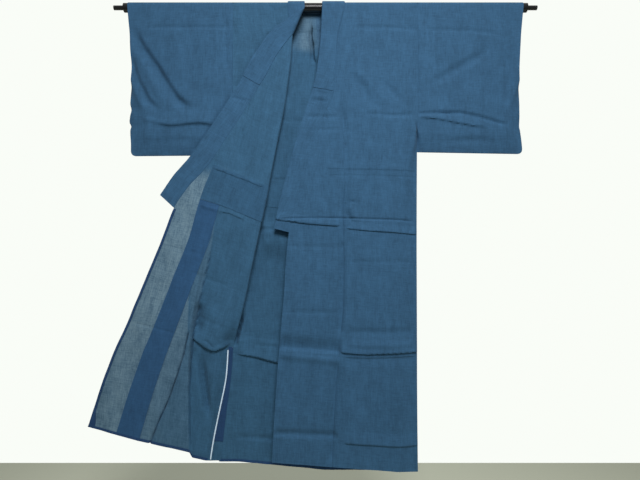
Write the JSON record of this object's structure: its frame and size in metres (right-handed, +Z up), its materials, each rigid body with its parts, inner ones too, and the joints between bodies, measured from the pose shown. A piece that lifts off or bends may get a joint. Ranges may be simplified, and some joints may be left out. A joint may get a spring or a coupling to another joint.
{
  "type": "men's cotton yukata hung on a kimono rack rod",
  "caption": "Full-length unlined cotton robe with square sleeves, hung through both sleeves on a round rod, one front rolled open and one hanging straight.",
  "frame": {"origin": "on the rod's axis, midway between the two sleeve ends", "axes": "+Z up, -Y the garment's front, +X the wearer's left, along the rod"},
  "size_m": [1.424, 0.0855, 1.5347],
  "materials": {
    "indigo_cotton": "matt slubbed plain weave",
    "indigo_cotton_inside": "matt slubbed plain weave, inside",
    "indigo_cotton_double": "matt slubbed plain weave, second layer",
    "black_lacquer": "black gloss lacquer on wood"
  },
  "bodies": {
    "root": {"collar": "indigo_cotton", "collar_cover": "indigo_cotton", "left_allowance": "indigo_cotton_double", "left_back_tuck": "indigo_cotton_inside", "left_body": "indigo_cotton", "left_front_tuck": "indigo_cotton_inside", "left_overlap": "indigo_cotton", "left_sleeve": "indigo_cotton", "right_allowance": "indigo_cotton_double", "right_back_tuck": "indigo_cotton_inside", "right_body": "indigo_cotton_inside", "right_front_tuck": "indigo_cotton_inside", "right_overlap": "indigo_cotton_inside", "right_sleeve": "indigo_cotton", "rod": "black_lacquer", "side_allowance": "indigo_cotton_double"}
  },
  "joints": []
}
